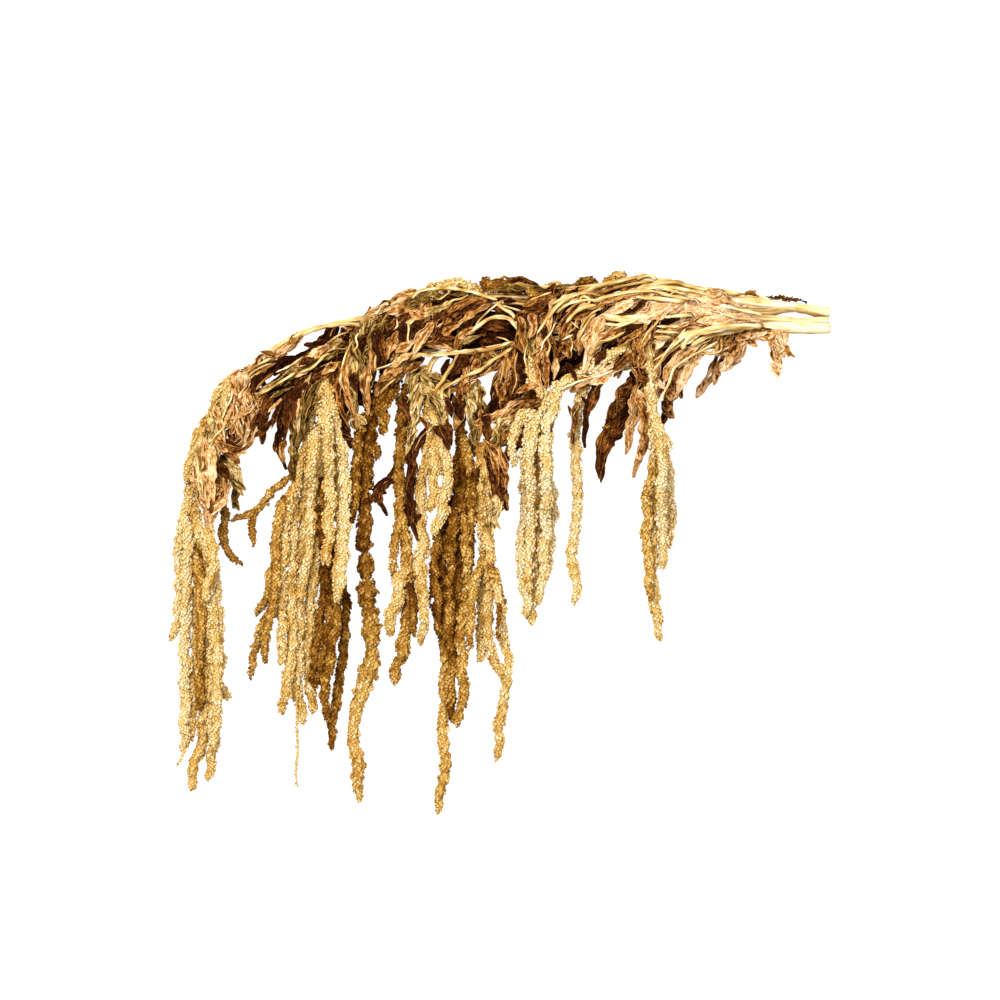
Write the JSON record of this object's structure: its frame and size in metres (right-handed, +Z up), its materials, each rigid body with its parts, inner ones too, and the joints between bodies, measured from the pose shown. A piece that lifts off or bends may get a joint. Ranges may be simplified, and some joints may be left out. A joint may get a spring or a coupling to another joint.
{
  "type": "dried hanging amaranth bunch",
  "caption": "Dried hanging amaranth laid flat: pale leafy stalks arch from the cut ends and finish in long drooping tassels of knobbly flower spikes.",
  "frame": {"origin": "on the surface the bunch lies on, below the middle of its outline seen from above", "axes": "+X towards the cut ends of the stalks, +Y away from the tassel tips, +Z up off the surface"},
  "size_m": [0.4979, 0.4088, 0.0622],
  "materials": {
    "straw_stalk": "dry pale straw with fine lengthwise fibres",
    "dry_leaf": "dry crumpled leaf, tan to near-black brown",
    "tassel_gold": "matt golden florets packed in small knobs",
    "tassel_brown": "matt brown florets packed in small knobs"
  },
  "bodies": {
    "root": {"stalk_a": "straw_stalk", "stalk_b": "dry_leaf", "stalk_c": "straw_stalk", "stalk_d": "straw_stalk", "stalk_e": "dry_leaf", "stalk_f": "dry_leaf", "stalk_g": "straw_stalk", "stalk_h": "dry_leaf", "stalk_i": "straw_stalk", "stalk_j": "straw_stalk", "stalk_k": "straw_stalk", "tassel_a": "tassel_gold", "tassel_b": "tassel_gold", "tassel_c": "tassel_brown", "tassel_d": "tassel_brown", "tassel_e": "tassel_gold", "tassel_f": "tassel_brown", "tassel_g": "tassel_gold", "tassel_h": "tassel_gold", "tassel_i": "tassel_gold", "tassel_j": "tassel_gold", "tassel_k": "tassel_brown"}
  },
  "joints": []
}
